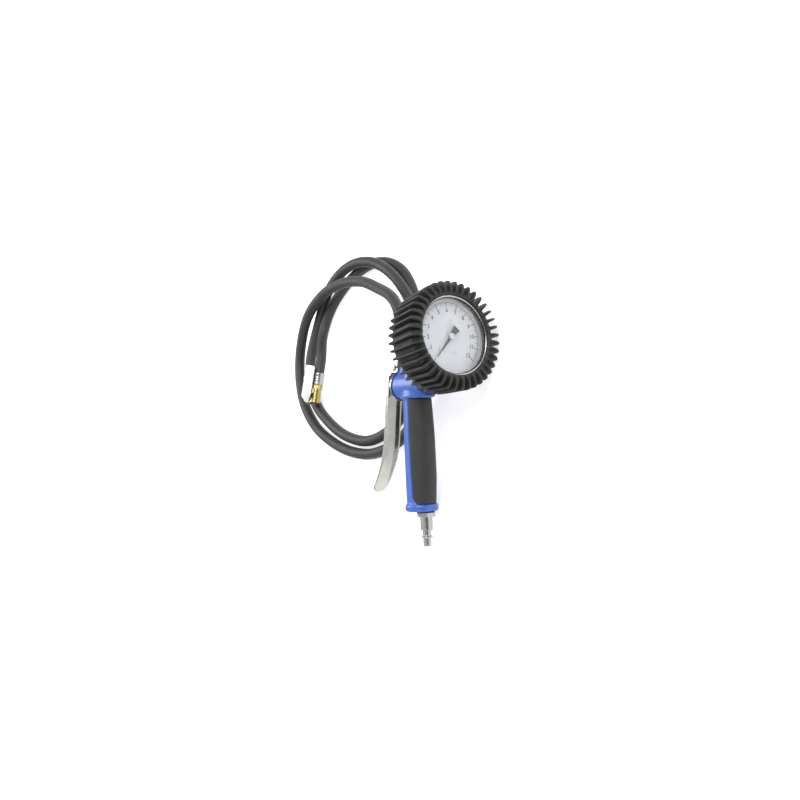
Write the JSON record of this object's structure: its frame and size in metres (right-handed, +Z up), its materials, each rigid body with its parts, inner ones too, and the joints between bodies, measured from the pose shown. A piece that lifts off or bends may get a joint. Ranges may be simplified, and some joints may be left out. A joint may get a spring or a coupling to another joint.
{
  "type": "portable tire inflator",
  "caption": "Hand-held tire inflator: blue pistol handle with chrome trigger, dial gauge in a ribbed rubber boot, loosely looped rubber hose and brass clip-on chuck.",
  "frame": {"origin": "middle of the tool's own footprint, on the surface that it lies on; the loose hose and chuck are left out", "axes": "+X along the handle from the inlet plug towards the gauge, +Y from the dial side towards the trigger side, +Z up"},
  "size_m": [0.3181, 0.385, 0.1043],
  "materials": {
    "blue_paint": "satin",
    "grip_rubber": "matt",
    "nickel": "bright",
    "chrome_plate": "polished",
    "steel": "plain",
    "brass": "plain",
    "hose_rubber": "matt",
    "seal_rubber": "matt",
    "boot_rubber": "matt",
    "case_paint": "satin",
    "window": "clear",
    "dial_white": "matt",
    "pointer_black": "matt",
    "hub_silver": "satin"
  },
  "bodies": {
    "tool": {"handle_body": "blue_paint", "grip_pad": "grip_rubber", "inlet_plug": "nickel", "plug_washer": "seal_rubber", "valve_cap": "chrome_plate", "valve_spring": "steel", "lever_pin": "nickel", "lever_pin_clip": "steel", "outlet_fitting": "brass", "outlet_ferrule": "nickel", "hose_lead": "hose_rubber", "hose_coil": "hose_rubber", "hose_end_ferrule": "nickel", "chuck_nipple": "brass", "chuck_body": "brass", "chuck_seal": "seal_rubber", "chuck_poppet_spring": "steel", "chuck_clip_pin": "steel", "chuck_clip_spring": "steel", "gauge_boot": "boot_rubber", "gauge_case": "case_paint", "bezel_ring": "chrome_plate", "lens": "window", "lens_gasket": "seal_rubber", "dial_face": "dial_white", "dial_screws": "steel", "gauge_socket": "brass", "bourdon_tube": "brass", "movement_plates": "brass", "hairspring": "steel"},
    "trigger": {"lever": "chrome_plate"},
    "valve": {"valve_stem": "steel", "valve_seal": "seal_rubber"},
    "sector": {"sector_gear": "brass"},
    "pointer_arbor": {"pinion_shaft": "steel", "pointer": "pointer_black", "pointer_hub": "hub_silver"},
    "gauge_link": {"link": "steel"},
    "clip": {"chuck_clip_lever": "nickel"},
    "poppet": {"chuck_poppet": "steel"}
  },
  "joints": [
    {"name": "trigger_pivot", "type": "hinge", "parent": "tool", "child": "trigger", "pos_m": [0.04862, 0.02404, 0.04671], "axis": [-0.2178, 0, 0.976], "range_deg": [0, 10], "stiffness_Nm_per_rad": 0.25, "springref_deg": -51.57},
    {"name": "stem_slide", "type": "slide", "parent": "tool", "child": "valve", "axis": [0, -1, 0], "range_m": [0, 0.00352], "deforming": ["valve_spring"]},
    {"name": "sector_pivot", "type": "hinge", "parent": "tool", "child": "sector", "pos_m": [0.07408, -0.04504, 0.0319], "axis": [0.1358, -0.9903, 0.0303], "range_deg": [0, 30], "stiffness_Nm_per_rad": 0.02, "springref_deg": -2.86},
    {"name": "pointer_spin", "type": "hinge", "parent": "tool", "child": "pointer_arbor", "pos_m": [0.06973, -0.04504, 0.05142], "axis": [-0.1358, 0.9903, -0.0303], "range_deg": [0, 270], "deforming": ["hairspring"]},
    {"name": "link_pivot", "type": "hinge", "parent": "sector", "child": "gauge_link", "pos_m": [0.06616, -0.04611, 0.03225], "axis": [-0.1358, 0.9903, -0.0303], "range_deg": [0, 30]},
    {"name": "clip_hinge", "type": "hinge", "parent": "tool", "child": "clip", "pos_m": [0.03965, 0.2443, 0.0228], "axis": [0, 0.8192, -0.5736], "range_deg": [0, 8], "stiffness_Nm_per_rad": 0.15, "springref_deg": -40.11, "deforming": ["chuck_clip_spring"]},
    {"name": "poppet_slide", "type": "slide", "parent": "tool", "child": "poppet", "axis": [1, 0, 0], "range_m": [0, 0.0012], "stiffness_N_per_m": 300, "springref_m": -0.003, "deforming": ["chuck_poppet_spring"]}
  ],
  "couplings": [
    {"joint": "stem_slide", "follows": "trigger_pivot", "m_per_rad": 0.020054},
    {"joint": "pointer_spin", "follows": "sector_pivot", "ratio": 9},
    {"joint": "link_pivot", "follows": "sector_pivot", "ratio": 1}
  ]
}
